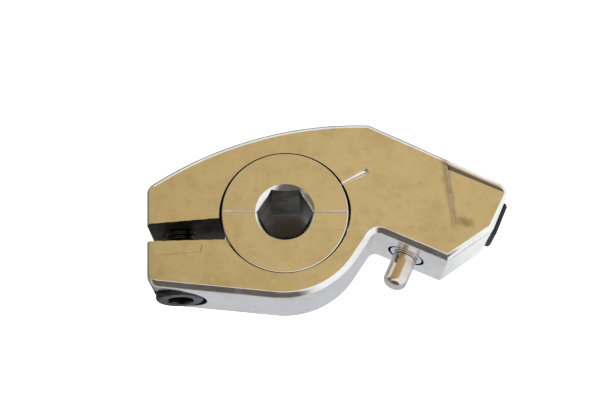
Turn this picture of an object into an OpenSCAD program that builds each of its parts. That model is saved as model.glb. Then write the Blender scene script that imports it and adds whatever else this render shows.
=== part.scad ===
// Split-clamp lever arm with a hex bush, a clamp screw, a spring plunger and a bumper pad.
// The arm lies on its back face. +Z is the bush axis and points out of the front face,
// the origin is on that axis at the back face, +X runs towards the bumper.

/* [Arm outline] */
// Thickness of the arm, back face to front face
thickness = 16; // [14:0.5:20]
// Bush axis to the split end's flat face
tail_len = 28.3; // [26:0.1:34]
// X of the crown, where the arched top meets the straight top
crown_x = 18.7; // [17:0.1:21]
// Y of the crown
crown_y = 18.9; // [18:0.1:23]
// Radius of the arched top edge
arch_r = 74; // [60:1:90]
// Slope of the arch where it reaches the crown
crown_slope = 5.2; // [3:0.1:8]
// Slope of the straight top edge, falling towards the bumper
brow_slope = 29.5; // [26:0.5:33]
// Radius of the round lobe under the bush
lobe_r = 17.5; // [17:0.1:21]
// How far the lobe's centre lies left of the bush axis
lobe_shift = 0.3; // [0:0.1:0.6]
// How far the lobe's centre lies below the bush axis
lobe_drop = 0.55; // [0:0.05:0.8]
// Rise of the bottom edge from the lobe towards the split end
tail_slope = 9; // [4:0.5:12]
// Steepness of the wall between the lobe and the plunger's face
notch_angle = 53.5; // [48:0.5:60]
// X of the heel, the corner between the plunger's face and the underside of the nose
heel_x = 32.1; // [31:0.1:36]
// Y of the heel
heel_y = -12.2; // [-14:0.1:-11]
// Tilt of the plunger's face, and of the end face square to it
face_tilt = 27.5; // [24:0.5:31]
// X of the nose's lower corner
nose_x = 41.9; // [40:0.1:48]
// Y of the nose's lower corner
nose_y = -6.35; // [-8:0.05:-5]
// Corner radius at both corners of the split end
tail_corner_r = 2.5; // [1.5:0.1:3.5]
// Corner radius at the nose's upper corner
brow_corner_r = 2.5; // [1.5:0.1:3.5]
// Corner radius at the nose's lower corner
nose_corner_r = 3; // [2:0.1:4]
// Inside radius where the notch meets the plunger's face
notch_corner_r = 1.8; // [1.4:0.1:2.5]
// Bevel round the front and back faces
edge_bevel = 1.2; // [0.6:0.1:1.3]

/* [Relief on the nose] */
// Bush axis to the relief's step
relief_x = 34.1; // [33:0.1:37]
// Y at which the sloping floor runs out into the front face
relief_runout_y = -6; // [-6.5:0.1:-3]
// Slope of the relief's floor
relief_slope = 2.8; // [2:0.2:4]
// Lip left between the relief and the top edge's bevel
relief_lip = 0.3; // [0.2:0.05:0.8]
// Lean of the lip's inner wall
relief_wall_lean = 45; // [20:1:60]

/* [Bush] */
// Outer radius of the bush
bush_r = 13; // [11:0.1:13.3]
// Width across the flats of the hexagon
hex_af = 10; // [8:0.5:12]
// Radius of the countersink round the hexagon
countersink_r = 6.1; // [6:0.1:7.5]
// Turn of the bush about its axis
bush_turn = -3.5; // [-30:0.5:30]
// Width of a scribed index line
scribe_w = 0.35; // [0.2:0.05:0.6]
// Depth of a scribed index line
scribe_depth = 0.15; // [0.1:0.05:0.3]
// Small bevel on the rims of the bush
bush_bevel = 0.3; // [0.1:0.05:0.5]

/* [Clamp slit] */
// Distance of the slit's middle below the bush axis
slit_drop = 2.88; // [2:0.05:4]
// Width of the slit at the split end, where the screw has closed it
slit_mouth = 3.7; // [2.5:0.1:5]
// Width of the slit at the bore
slit_root = 4.7; // [3:0.1:6]
// Gap between bush and bore at its two sides
bore_ease = 0.5; // [0.3:0.05:0.8]

/* [Index notch] */
// Direction of the notch from the bush axis
index_angle = 24.7; // [15:0.1:40]
// Length of the notch from the bore's edge
index_len = 5.6; // [4:0.1:7]
// Radius of the notch at the bore
index_r_in = 0.35; // [0.2:0.05:0.6]
// Radius of the notch at its round end
index_r_out = 0.85; // [0.6:0.05:1.1]

/* [Clamp screw] */
// Bush axis to the screw's axis
screw_x = 22.5; // [20.5:0.1:23]
// Radius of the screw's thread
screw_r = 3; // [2.5:0.5:3]
// Length of the screw under its head
screw_len = 16; // [15:0.5:17]
// Radius of the screw's head
head_r = 5; // [4.5:0.1:5]
// Height of the screw's head
head_h = 6; // [5:0.1:6]
// Width across the flats of the screw's socket
socket_af = 5; // [4:0.5:5]
// Depth of the screw's socket
socket_depth = 3; // [2.5:0.1:3.5]
// Y of the outer end of the head
head_end_y = -15.3; // [-16:0.1:-15]
// Thickness of the spring washer
washer_t = 1.6; // [1.2:0.1:1.8]
// Split in the spring washer
washer_split = 0.9; // [0.6:0.1:1.5]
// Wall of the thread insert
insert_wall = 0.6; // [0.4:0.1:1]
// Length of the thread insert
insert_len = 8; // [6:0.5:8]

/* [Plunger] */
// Distance of the plunger's axis from the heel, along its face
plunger_back = 8.4; // [7:0.1:9]
// Outer radius of the sleeve
sleeve_r = 4; // [3.8:0.1:4.5]
// Length of the sleeve
sleeve_len = 15.5; // [14:0.1:16.5]
// Wall of the sleeve's nose ring that shows in the face
sleeve_nose_wall = 0.95; // [0.7:0.05:1.1]
// Depth of the open ring round the sleeve's nose
ring_depth = 1.5; // [0.8:0.1:2]
// Thickness of the sleeve's front wall, which guides the pin
guide_len = 3.5; // [3:0.1:4.5]
// Radius of the pin
pin_r = 2.5; // [2:0.1:2.6]
// How far the pin stands out of the face
pin_out = 7.6; // [6:0.1:8.5]
// Radius of the pin's rounded nose edge
pin_nose_r = 1.9; // [1:0.1:1.95]
// Length of the grease groove where the pin enters its guide
pin_groove_len = 0.8; // [0.7:0.1:1.2]
// Depth of the grease groove
pin_groove_depth = 0.3; // [0.2:0.05:0.4]
// Travel of the pin into the sleeve
pin_travel = 6; // [4:0.1:6]
// Thickness of the pin's collar
collar_t = 1.5; // [1:0.1:2]
// Thickness of the plug that closes the sleeve
plug_t = 1; // [0.8:0.1:1.5]
// Diameter of the spring's wire
wire_d = 0.6; // [0.4:0.05:0.6]
// Turns of the spring
spring_turns = 5; // [4:0.5:5]

/* [Bumper pad] */
// Length of the pad along the end face
pad_len = 7.4; // [6:0.1:8]
// Width of the pad across the arm's thickness
pad_w = 9; // [7:0.1:11]
// How far the pad stands out of the end face
pad_proud = 1; // [0.5:0.1:2]
// Depth of the pocket that the pad sits in
pad_pocket = 0.8; // [0.5:0.1:1.2]
// Distance of the pad's middle from the nose's lower corner
pad_from_nose = 4.3; // [4.2:0.1:5.5]
// Bevel on the pad's outer edges
pad_bevel = 0.5; // [0.2:0.1:0.8]
// Radius of the pad's stem
stem_r = 1.5; // [1:0.1:2]
// Length of the pad's stem
stem_len = 4; // [2:0.1:5]

/* [Fits] */
// Running clearance of the bush where the jaws pinch it
bush_fit = 0.05; // [0.02:0.01:0.1]
// Running clearance of the pin in its guide
pin_fit = 0.05; // [0.02:0.01:0.1]
// Running clearance of the screw in its insert
thread_fit = 0.05; // [0.02:0.01:0.1]
// Clearance of the screw's shank in the lower jaw and in the washer
shank_fit = 0.3; // [0.2:0.05:0.5]
// Clearance of the screw's head and washer in the counterbore
head_fit = 0.5; // [0.3:0.05:0.6]
// Gap between pieces that are pressed or glued together
press_fit = 0.01; // [0:0.01:0.02]
// Gap between flat faces that bear on each other
face_fit = 0.02; // [0.01:0.01:0.05]
// How much thinner the pin's shank is inside its guide
shank_relief = 0.03; // [0.02:0.01:0.05]

/* [Hidden] */
$fn = 96;
// Overrun of a cutter past the face that it opens
over = 1;
// Overrun of the bevel cutter past both its edges
bevel_over = 0.1;
// How far the straight steps along a rounding may cut inside the true arc
chord_error = 0.01;
// Angle of the arch kept straight beside the crown, which leaves room for the bevel's mitre
crown_lead = 0.6;
// Angle of the arch given up to the rounded corner at the split end
tail_lead = 2.2;
// Depth of the thread insert below the slit's upper wall
insert_sink = 0.3;
// Length of the tapped hole past the insert, and the slope of its drilled end
tap_runout = 0.6;
drill_slope = 31;
// How much smaller the washer is than the screw's head
washer_step = 0.1;
// Wall of the sleeve round its chamber, and what runs in there
chamber_wall = 0.8;
collar_play = 0.1;
spring_play = 0.25;
tail_play = 0.3;
// Room left behind the pin when it is pressed right in
end_play = 0.5;
mid_z = thickness / 2;

// Direction of an angle in the plane, and the point where two lines cross
function heading(a) = [cos(a), sin(a)];
function meet(p, a, q, b) =
    let (d = heading(a), e = heading(b), w = q - p)
    p + d * ((w.x * e.y - w.y * e.x) / (d.x * e.y - d.y * e.x));

// The lobe, and the two lines that leave it: the bottom edge and the notch's wall
lobe = [-lobe_shift, -lobe_drop];
tail_touch = lobe + lobe_r * heading(-90 - tail_slope);
notch_touch = lobe + lobe_r * heading(notch_angle - 90);

// The arched top, held just short of the split end so that the corner there can be rounded
crown = [crown_x, crown_y];
arch_hub = crown - arch_r * heading(90 - crown_slope);
arch_end = 90 - crown_slope + crown_lead;
arch_start = acos((-tail_len - arch_hub.x) / arch_r) - tail_lead;
arch_right = arch_hub + arch_r * heading(arch_end);
arch_left = arch_hub + arch_r * heading(arch_start);

heel = [heel_x, heel_y];
nose = [nose_x, nose_y];
tail = [-tail_len, 0];

// Corners of the outline, anticlockwise from the lower left: point and corner radius
corners = [
    [meet(tail, 90, tail_touch, -tail_slope), tail_corner_r],
    [meet(tail_touch, -tail_slope, notch_touch, notch_angle), lobe_r],
    [meet(notch_touch, notch_angle, heel, -face_tilt), notch_corner_r],
    [heel, 0],
    [nose, nose_corner_r],
    [meet(nose, 90 - face_tilt, crown, -brow_slope), brow_corner_r],
    [meet(crown, -brow_slope, arch_right, arch_end - 90), 0],
    [meet(arch_right, arch_end - 90, arch_left, arch_start - 90), arch_r],
    [meet(arch_left, arch_start - 90, tail, 90), tail_corner_r]
];
last = len(corners) - 1;

// Rounding of corner i: half its inner angle, its two touching points and its hub
function unit(v) = v / norm(v);
function corner(i) = corners[i][0];
function radius(i) = corners[i][1];
function to_prev(i) = unit(corner(i == 0 ? last : i - 1) - corner(i));
function to_next(i) = unit(corner(i == last ? 0 : i + 1) - corner(i));
function half_angle(i) = acos(to_prev(i) * to_next(i)) / 2;
function reach(i) = radius(i) / tan(half_angle(i));
function touch_in(i) = corner(i) + reach(i) * to_prev(i);
function inward(i) = unit(to_prev(i) + to_next(i)) / sin(half_angle(i));
function hub(i) = corner(i) + radius(i) * inward(i);
function is_hollow(i) = cross(to_next(i), to_prev(i)) < 0;
function polar(v) = atan2(v.y, v.x);

// Points of corner i's rounding, with the whole outline drawn in by the given inset
function steps(i) = ceil((180 - 2 * half_angle(i)) / (2 * acos(1 - chord_error / radius(i))));
function arc_points(i, inset) =
    let (
        turn = (180 - 2 * half_angle(i)) * (is_hollow(i) ? -1 : 1),
        from = polar(touch_in(i) - hub(i)),
        r = radius(i) + (is_hollow(i) ? inset : -inset)
    )
    [for (k = [0 : steps(i)]) hub(i) + r * heading(from + turn * k / steps(i))];
function outline(inset) = [
    for (i = [0 : last])
        each radius(i) > 0 ? arc_points(i, inset) : [corner(i) + inset * inward(i)]
];

// Bore and slit
bore_r = bush_r + bore_ease;
pinch = bore_ease - bush_fit;
slit_taper = (slit_root - slit_mouth) / (tail_len - bush_r);
function slit_w(x) = slit_mouth + slit_taper * (x + tail_len);

// Stack of the clamp screw along Y
head_y = head_end_y + head_h;
washer_y = head_y + face_fit;
seat_y = washer_y + washer_t + face_fit;
insert_y = -slit_drop + slit_w(-screw_x) / 2 + insert_sink;
washer_r = head_r - washer_step;
insert_r = screw_r + thread_fit + insert_wall;
tap_end_y = insert_y + insert_len + tap_runout;

// Plunger: the point of its face on the axis, and its parts along that axis
face_point = heel + plunger_back * heading(180 - face_tilt);
plunger_heading = -90 - face_tilt;
nose_ring_r = pin_r + pin_fit + sleeve_nose_wall;
chamber_r = sleeve_r - chamber_wall;
collar_r = chamber_r - collar_play;
chamber_end = sleeve_len - plug_t;
collar_front = guide_len + face_fit;
spring_front = collar_front + collar_t + face_fit;
spring_len = chamber_end - face_fit - spring_front;
spring_r = chamber_r - spring_play - wire_d / 2;
tail_pin_r = spring_r - wire_d / 2 - tail_play;
tail_pin_len = chamber_end - collar_front - collar_t - pin_travel - end_play;

// Bumper pad: its middle on the end face
end_heading = -face_tilt;
pad_point = nose + pad_from_nose * heading(90 - face_tilt);

// ---- helpers ----

// Ring of triangular section that cuts the bevel round the front face
module bevel_cutter() {
    inner = edge_bevel + bevel_over;
    section = [[inner, bevel_over], [-bevel_over, bevel_over], [-bevel_over, -inner]];
    rings = [for (point = section) [for (p = outline(point[0])) [p.x, p.y, thickness + point[1]]]];
    n = len(rings[0]);
    polyhedron(
        points = [for (ring = rings) each ring],
        faces = [
            for (j = [0 : 2], k = [0 : n - 1])
                let (next = (k + 1) % n, other = (j + 1) % 3)
                [j * n + k, j * n + next, other * n + next, other * n + k]
        ]
    );
}

// Plate with the arm's outline and a bevel round both its faces
module bevelled_plate() {
    difference() {
        linear_extrude(thickness) polygon(outline(0));
        bevel_cutter();
        translate([0, 0, thickness]) mirror([0, 0, 1]) bevel_cutter();
    }
}

// Children are built along +Z and stood on the clamp screw's axis, pointing at +Y
module on_screw_axis(y) {
    translate([-screw_x, y, mid_z]) rotate([-90, 0, 0]) children();
}

// Children are built along +Z, which points out of the plunger's face, from that face
module on_plunger_axis(depth) {
    translate([face_point.x, face_point.y, mid_z])
        rotate([0, 0, plunger_heading])
            rotate([0, 90, 0])
                translate([0, 0, -depth]) children();
}

// Children are built along +Z, which points out of the end face, from that face
module on_end_face() {
    translate([pad_point.x, pad_point.y, mid_z])
        rotate([0, 0, end_heading])
            rotate([0, 90, 0]) children();
}

module hexagon(af) {
    circle(d = af / cos(30), $fn = 6);
}

// Round bore with its upper and lower halves closed in on the bush
module pinched_bore() {
    intersection_for (side = [-1, 1])
        translate([0, side * pinch, -over]) cylinder(r = bore_r, h = thickness + 2 * over);
}

module slit() {
    far = -tail_len - over;
    near = -bush_r + over;
    translate([0, 0, -over])
        linear_extrude(thickness + 2 * over)
            polygon([
                [far, -slit_drop - slit_w(far) / 2], [near, -slit_drop - slit_w(near) / 2],
                [near, -slit_drop + slit_w(near) / 2], [far, -slit_drop + slit_w(far) / 2]
            ]);
}

// Sloping recess behind a step, with a thin lip left along the top edge
module nose_relief() {
    reach_out = 30;
    intersection() {
        translate([relief_x, relief_runout_y - reach_out, thickness / 2]) cube(2 * reach_out);
        translate([0, relief_runout_y, thickness])
            rotate([-relief_slope, 0, 0])
                translate([0, -reach_out, 0]) cube([3 * reach_out, 3 * reach_out, reach_out]);
        translate([crown.x, crown.y, thickness])
            rotate([0, 0, -brow_slope])
                translate([-reach_out, -edge_bevel - relief_lip, 0])
                    rotate([-relief_wall_lean, 0, 0])
                        translate([0, -2 * reach_out, -reach_out])
                            cube([3 * reach_out, 2 * reach_out, 3 * reach_out]);
    }
}

// Drilled, tapped and counterbored hole through both jaws
module screw_hole() {
    deep = 10;
    on_screw_axis(head_end_y - deep) cylinder(r = head_r + head_fit, h = seat_y - head_end_y + deep);
    on_screw_axis(seat_y - over) cylinder(r = screw_r + shank_fit, h = insert_y - seat_y + over);
    on_screw_axis(insert_y - over) cylinder(r = insert_r + press_fit, h = insert_len + over);
    on_screw_axis(insert_y) cylinder(r = screw_r, h = tap_end_y - insert_y);
    on_screw_axis(tap_end_y) cylinder(r1 = screw_r, r2 = 0, h = screw_r * tan(drill_slope));
}

module plunger_hole() {
    hole = sleeve_r + press_fit;
    on_plunger_axis(sleeve_len + face_fit) cylinder(r = hole, h = sleeve_len + over);
}

module pad_hole() {
    play = 2 * press_fit;
    on_end_face() {
        translate([-pad_w / 2 - press_fit, -pad_len / 2 - press_fit, -pad_pocket])
            cube([pad_w + play, pad_len + play, pad_pocket + over]);
        translate([0, 0, -pad_pocket - stem_len - face_fit])
            cylinder(r = stem_r + press_fit, h = stem_len + over);
    }
}

// Tapered notch in the front face that points at the bush's index line
module index_notch() {
    translate([0, 0, thickness])
        rotate([0, 0, index_angle])
            translate([bush_r, 0, 0])
                rotate([0, 90, 0]) {
                    cylinder(r1 = index_r_in, r2 = index_r_out, h = index_len);
                    translate([0, 0, index_len]) sphere(r = index_r_out);
                }
}

// ---- sub-parts ----

module clamp_body() {
    color("#C2B18A")
        difference() {
            bevelled_plate();
            pinched_bore();
            slit();
            nose_relief();
            screw_hole();
            plunger_hole();
            pad_hole();
            index_notch();
        }
}

module hex_bush() {
    hex_depth = countersink_r - hex_af / 2;
    scribe_start = countersink_r - scribe_depth;
    scribe_end = bush_r - bush_bevel;
    color("#CBBB95")
        rotate([0, 0, bush_turn])
            difference() {
                union() {
                    cylinder(r1 = bush_r - bush_bevel, r2 = bush_r, h = bush_bevel);
                    translate([0, 0, bush_bevel]) cylinder(r = bush_r, h = thickness - 2 * bush_bevel);
                    translate([0, 0, thickness - bush_bevel])
                        cylinder(r1 = bush_r, r2 = bush_r - bush_bevel, h = bush_bevel);
                }
                translate([0, 0, -over]) linear_extrude(thickness + 2 * over) hexagon(hex_af);
                translate([0, 0, -over])
                    cylinder(r1 = countersink_r + over, r2 = hex_af / 2, h = hex_depth + over);
                translate([0, 0, thickness - hex_depth])
                    cylinder(r1 = hex_af / 2, r2 = countersink_r + over, h = hex_depth + over);
                for (turn = [0, 180])
                    rotate([0, 0, turn])
                        translate([scribe_start, -scribe_w / 2, thickness - scribe_depth])
                            cube([scribe_end - scribe_start, scribe_w, over]);
            }
}

module clamp_screw() {
    rim = 0.5;
    tip = 0.6;
    color("#26262A")
        difference() {
            union() {
                on_screw_axis(head_end_y) cylinder(r1 = head_r - rim, r2 = head_r, h = rim);
                on_screw_axis(head_end_y + rim) cylinder(r = head_r, h = head_h - rim);
                on_screw_axis(head_y) cylinder(r = screw_r, h = screw_len - tip);
                on_screw_axis(head_y + screw_len - tip) cylinder(r1 = screw_r, r2 = screw_r - tip, h = tip);
            }
            on_screw_axis(head_end_y - over) linear_extrude(socket_depth + over) hexagon(socket_af);
            on_screw_axis(head_end_y + socket_depth)
                cylinder(r1 = socket_af / 2, r2 = 0, h = socket_af / 2 * tan(30));
        }
}

module lock_washer() {
    color("#6E7074")
        on_screw_axis(washer_y)
            difference() {
                cylinder(r = washer_r, h = washer_t);
                translate([0, 0, -over]) cylinder(r = screw_r + shank_fit, h = washer_t + 2 * over);
                rotate([0, 0, 90])
                    translate([0, -washer_split / 2, -over])
                        cube([washer_r + over, washer_split, washer_t + 2 * over]);
            }
}

module thread_insert() {
    color("#8C8E92")
        on_screw_axis(insert_y)
            difference() {
                cylinder(r = insert_r, h = insert_len);
                translate([0, 0, -over]) cylinder(r = screw_r + thread_fit, h = insert_len + 2 * over);
            }
}

module plunger_sleeve() {
    color("#C9CCD2")
        on_plunger_axis(sleeve_len)
            difference() {
                union() {
                    cylinder(r = sleeve_r, h = sleeve_len - ring_depth);
                    cylinder(r = nose_ring_r, h = sleeve_len);
                }
                translate([0, 0, -over]) cylinder(r = chamber_r, h = sleeve_len - guide_len + over);
                cylinder(r = pin_r + pin_fit, h = sleeve_len + over);
            }
}

module plunger_pin() {
    straight = pin_out - pin_nose_r;
    shank_len = collar_front - pin_groove_len;
    color("#D6D8DC")
        on_plunger_axis(0) {
            translate([0, 0, -collar_front]) cylinder(r = pin_r - shank_relief, h = shank_len);
            translate([0, 0, -pin_groove_len]) cylinder(r = pin_r - pin_groove_depth, h = pin_groove_len);
            cylinder(r = pin_r, h = straight);
            translate([0, 0, straight])
                rotate_extrude()
                    union() {
                        square([pin_r - pin_nose_r, pin_nose_r]);
                        translate([pin_r - pin_nose_r, 0])
                            intersection() {
                                circle(pin_nose_r);
                                square(pin_nose_r);
                            }
                    }
            translate([0, 0, -collar_front - collar_t]) cylinder(r = collar_r, h = collar_t);
            translate([0, 0, -collar_front - collar_t - tail_pin_len])
                cylinder(r = tail_pin_r, h = tail_pin_len);
        }
}

// Compression spring, swept as one closed tube along its helix
module plunger_spring() {
    sides = 8;
    steps_per_turn = 24;
    rings = spring_turns * steps_per_turn;
    rise = spring_len - wire_d;
    function wire_point(k, s) =
        let (a = 360 * k / steps_per_turn, b = 360 * s / sides, r = spring_r + wire_d / 2 * cos(b))
        [r * cos(a), r * sin(a), wire_d / 2 + rise * k / rings + wire_d / 2 * sin(b)];
    color("#9A9CA0")
        on_plunger_axis(spring_front + spring_len)
            polyhedron(
                points = [for (k = [0 : rings], s = [0 : sides - 1]) wire_point(k, s)],
                faces = concat(
                    [[for (s = [0 : sides - 1]) s]],
                    [for (k = [0 : rings - 1], s = [0 : sides - 1])
                        [k * sides + s, (k + 1) * sides + s,
                         (k + 1) * sides + (s + 1) % sides, k * sides + (s + 1) % sides]],
                    [[for (s = [sides - 1 : -1 : 0]) rings * sides + s]]
                )
            );
}

module plunger_end_plug() {
    color("#A9ACB1")
        on_plunger_axis(sleeve_len) cylinder(r = chamber_r - press_fit, h = plug_t);
}

module bumper_pad() {
    tall = pad_pocket - face_fit + pad_proud;
    // Block of the given length and width with its outer edges bevelled along one way
    module bevelled(length, width) {
        rotate([90, 0, 0])
            linear_extrude(width, center = true)
                polygon([
                    [-length / 2, 0], [length / 2, 0], [length / 2, tall - pad_bevel],
                    [length / 2 - pad_bevel, tall], [-length / 2 + pad_bevel, tall],
                    [-length / 2, tall - pad_bevel]
                ]);
    }
    color("#1D1E20")
        on_end_face() {
            translate([0, 0, -pad_pocket + face_fit])
                intersection() {
                    bevelled(pad_w, pad_len);
                    rotate([0, 0, 90]) bevelled(pad_len, pad_w);
                }
            translate([0, 0, -pad_pocket - stem_len]) cylinder(r = stem_r, h = stem_len + pad_pocket);
        }
}

clamp_body();
hex_bush();
clamp_screw();
lock_washer();
thread_insert();
plunger_sleeve();
plunger_pin();
plunger_spring();
plunger_end_plug();
bumper_pad();
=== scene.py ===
import math

import bmesh
import bpy
import numpy as np
from mathutils import Matrix, Vector


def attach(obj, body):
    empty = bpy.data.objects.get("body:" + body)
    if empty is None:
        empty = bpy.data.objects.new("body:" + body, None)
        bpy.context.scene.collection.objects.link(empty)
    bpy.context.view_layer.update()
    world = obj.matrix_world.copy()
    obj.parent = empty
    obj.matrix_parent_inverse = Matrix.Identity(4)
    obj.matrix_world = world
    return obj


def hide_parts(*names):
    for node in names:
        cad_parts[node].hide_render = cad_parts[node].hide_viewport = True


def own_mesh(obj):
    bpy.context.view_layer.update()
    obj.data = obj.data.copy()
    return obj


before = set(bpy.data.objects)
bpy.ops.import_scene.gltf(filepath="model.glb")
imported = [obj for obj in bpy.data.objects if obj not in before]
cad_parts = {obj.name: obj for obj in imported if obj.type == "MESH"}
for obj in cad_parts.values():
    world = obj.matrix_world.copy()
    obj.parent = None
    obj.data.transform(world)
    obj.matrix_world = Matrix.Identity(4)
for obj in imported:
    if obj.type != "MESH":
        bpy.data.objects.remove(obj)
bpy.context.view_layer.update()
MM = 0.001

# ---- sizes in millimetres, the same as the CAD model's ----

THICK = 16.0                # plate thickness
MID = THICK / 2
TAIL = 28.3                 # bush centre to the split end
CROWN = (18.7, 18.9)        # where the arched edge meets the brow
ARCH_R = 74.0
CROWN_SLOPE = 5.2
BROW_SLOPE = 29.5
LOBE = (-0.3, -0.55)        # centre of the round lower edge
LOBE_R = 17.5
TAIL_SLOPE = 9.0
NOTCH_ANGLE = 53.5
HEEL = (32.1, -12.2)        # end of the plunger's face
FACE_TILT = 27.5
NOSE = (41.9, -6.35)
BEVEL = 1.2
PLAY = 0.02                 # end play between seated pieces
FIT = 0.01                  # clearance round a fixed piece

RELIEF_X = 34.1             # step of the sloping recess
RELIEF_Y = -6.0
RELIEF_SLOPE = 2.8
RELIEF_LIP = 0.3
RELIEF_LEAN = 45.0

BUSH_R = 13.0
BUSH_FIT = 0.05
BUSH_TURN = -3.5
EASE = 0.5                  # how far the bore opens to the left and right of the bush
HEX_AF = 10.0
SINK_R = 6.1
SCRIBE_W = 0.21             # half width of a scribed line
SCRIBE_DEEP = 0.11
INDEX_ANGLE = 24.7          # index notch beside the bush
INDEX_LEN = 5.6
INDEX_R = 0.85
INDEX_TIP_R = 0.32

SLIT_DROP = 2.88
SLIT_MOUTH = 3.7
SLIT_ROOT = 4.7

SCREW_X = -22.5
SCREW_R = 3.0
SCREW_LEN = 16.0
PITCH = 1.0
HEAD_R = 5.0
HEAD_H = 6.0
HEAD_END = -15.3
HEAD_ROOM = 0.5             # counterbore round the head
SHANK_ROOM = 0.3            # hole round the shank
SOCKET_AF = 5.0
SOCKET_DEEP = 3.0
WASHER_T = 1.6
WASHER_Y = HEAD_END + HEAD_H + PLAY
SEAT_Y = WASHER_Y + WASHER_T + PLAY
INSERT_LEN = 8.0
INSERT_R = 3.65
INSERT_SINK = 0.3

PLUNGER_BACK = 8.4          # heel to the plunger's axis
SLEEVE_R = 4.0
SLEEVE_LEN = 15.5
SLEEVE_WALL = 0.8
NOSE_STEP = 1.5             # length of the sleeve's reduced nose
GUIDE = 3.5
PIN_R = 2.5
PIN_OUT = 7.6
PIN_PLAY = 0.05
PIN_TRAVEL = 6.0
COLLAR_T = 1.5
GROOVE = 0.3                # grease groove behind the face
GROOVE_LEN = 0.8
PLUG_T = 1.0
WIRE = 0.6

PAD_LEN = 7.4
PAD_W = 9.0
PAD_PROUD = 1.0
PAD_POCKET = 0.8
PAD_BACK = 4.3
STEM_R = 1.5

LENS = 60.0                 # camera, in the frame's millimetres and degrees
CAMERA_AT = (0.95, -70.93, 207.34)
CAMERA_TILT = 69.08654
CAMERA_AZIMUTH = 1.74856
CAMERA_ROLL = -1.50012


def heading(a):
    return np.array([math.cos(math.radians(a)), math.sin(math.radians(a))])


def meet(p, a, q, b):
    p, q, d, e = np.array(p), np.array(q), heading(a), heading(b)
    w = q - p
    return p + d * ((w[0] * e[1] - w[1] * e[0]) / (d[0] * e[1] - d[1] * e[0]))


def slit_width(x):
    return SLIT_MOUTH + (SLIT_ROOT - SLIT_MOUTH) / (TAIL - BUSH_R) * (x + TAIL)


INSERT_Y = -SLIT_DROP + slit_width(SCREW_X) / 2 + INSERT_SINK
FACE_POINT = np.array(HEEL) + PLUNGER_BACK * heading(180 - FACE_TILT)
PAD_POINT = np.array(NOSE) + PAD_BACK * heading(90 - FACE_TILT)
ON_PLUNGER = (
    Matrix.Translation((FACE_POINT[0], FACE_POINT[1], MID))
    @ Matrix.Rotation(math.radians(-90 - FACE_TILT), 4, "Z")
    @ Matrix.Rotation(math.radians(90), 4, "Y")
)
ON_END = (
    Matrix.Translation((PAD_POINT[0], PAD_POINT[1], MID))
    @ Matrix.Rotation(math.radians(-FACE_TILT), 4, "Z")
    @ Matrix.Rotation(math.radians(90), 4, "Y")
)


def on_screw(y):
    return Matrix.Translation((SCREW_X, y, MID)) @ Matrix.Rotation(math.radians(-90), 4, "X")


def on_plunger(depth):
    return ON_PLUNGER @ Matrix.Translation((0, 0, -depth))


# ---- outline of the arm, drawn in by any inset ----

def arm_corners():
    crown = np.array(CROWN)
    lobe = np.array(LOBE)
    tail_touch = lobe + LOBE_R * heading(-90 - TAIL_SLOPE)
    notch_touch = lobe + LOBE_R * heading(NOTCH_ANGLE - 90)
    hub = crown - ARCH_R * heading(90 - CROWN_SLOPE)
    a1 = 90 - CROWN_SLOPE + 0.6
    a0 = math.degrees(math.acos((-TAIL - hub[0]) / ARCH_R)) - 2.2
    right = hub + ARCH_R * heading(a1)
    left = hub + ARCH_R * heading(a0)
    tail = (-TAIL, 0)
    return [
        (meet(tail, 90, tail_touch, -TAIL_SLOPE), 2.5),
        (meet(tail_touch, -TAIL_SLOPE, notch_touch, NOTCH_ANGLE), LOBE_R),
        (meet(notch_touch, NOTCH_ANGLE, HEEL, -FACE_TILT), 1.8),
        (np.array(HEEL), 0.3),
        (np.array(NOSE), 3.0),
        (meet(NOSE, 90 - FACE_TILT, crown, -BROW_SLOPE), 2.5),
        (meet(crown, -BROW_SLOPE, right, a1 - 90), 1.2),
        (meet(right, a1 - 90, left, a0 - 90), ARCH_R),
        (meet(left, a0 - 90, tail, 90), 2.5),
    ]


def outline(inset, chord=0.003):
    corners = arm_corners()
    points = []
    for i, (c, r) in enumerate(corners):
        to_prev = corners[i - 1][0] - c
        to_next = corners[(i + 1) % len(corners)][0] - c
        to_prev, to_next = to_prev / np.linalg.norm(to_prev), to_next / np.linalg.norm(to_next)
        half = math.acos(np.clip(to_prev @ to_next, -1, 1)) / 2
        inward = (to_prev + to_next) / np.linalg.norm(to_prev + to_next) / math.sin(half)
        hollow = to_next[0] * to_prev[1] - to_next[1] * to_prev[0] < 0
        hub = c + r * inward
        turn = (math.pi - 2 * half) * (-1 if hollow else 1)
        start = c + r / math.tan(half) * to_prev - hub
        a = math.atan2(start[1], start[0])
        steps = max(4, math.ceil(abs(turn) / (2 * math.acos(1 - chord / max(r, 0.5)))))
        rr = r + inset if hollow else r - inset
        for k in range(steps + 1):
            if rr > 0:
                t = a + turn * k / steps
                points.append(hub + rr * np.array([math.cos(t), math.sin(t)]))
            else:
                points.append(c + inset * inward)
    return points


# ---- mesh helpers, in millimetres ----

def to_object(name, bm):
    bmesh.ops.remove_doubles(bm, verts=bm.verts, dist=1e-5)
    bmesh.ops.recalc_face_normals(bm, faces=bm.faces)
    mesh = bpy.data.meshes.new(name)
    bm.to_mesh(mesh)
    bm.free()
    obj = bpy.data.objects.new(name, mesh)
    bpy.context.scene.collection.objects.link(obj)
    return obj


def stack(rings, closed=False):
    """Rings of equal count joined by quads. A ring of one point is a pole."""
    bm = bmesh.new()
    vs = [[bm.verts.new(p) for p in ring] for ring in rings]
    pairs = list(zip(vs, vs[1:])) + ([(vs[-1], vs[0])] if closed else [])
    for a, b in pairs:
        n = max(len(a), len(b))
        for k in range(n):
            m = (k + 1) % n
            quad = [a[k % len(a)], a[m % len(a)], b[m % len(b)], b[k % len(b)]]
            quad = [v for i, v in enumerate(quad) if v not in quad[:i]]
            if len(quad) > 2:
                bm.faces.new(quad)
    if not closed:
        for ring in (vs[0], vs[-1]):
            if len(ring) > 2:
                bm.faces.new(ring)
    return bm


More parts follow.
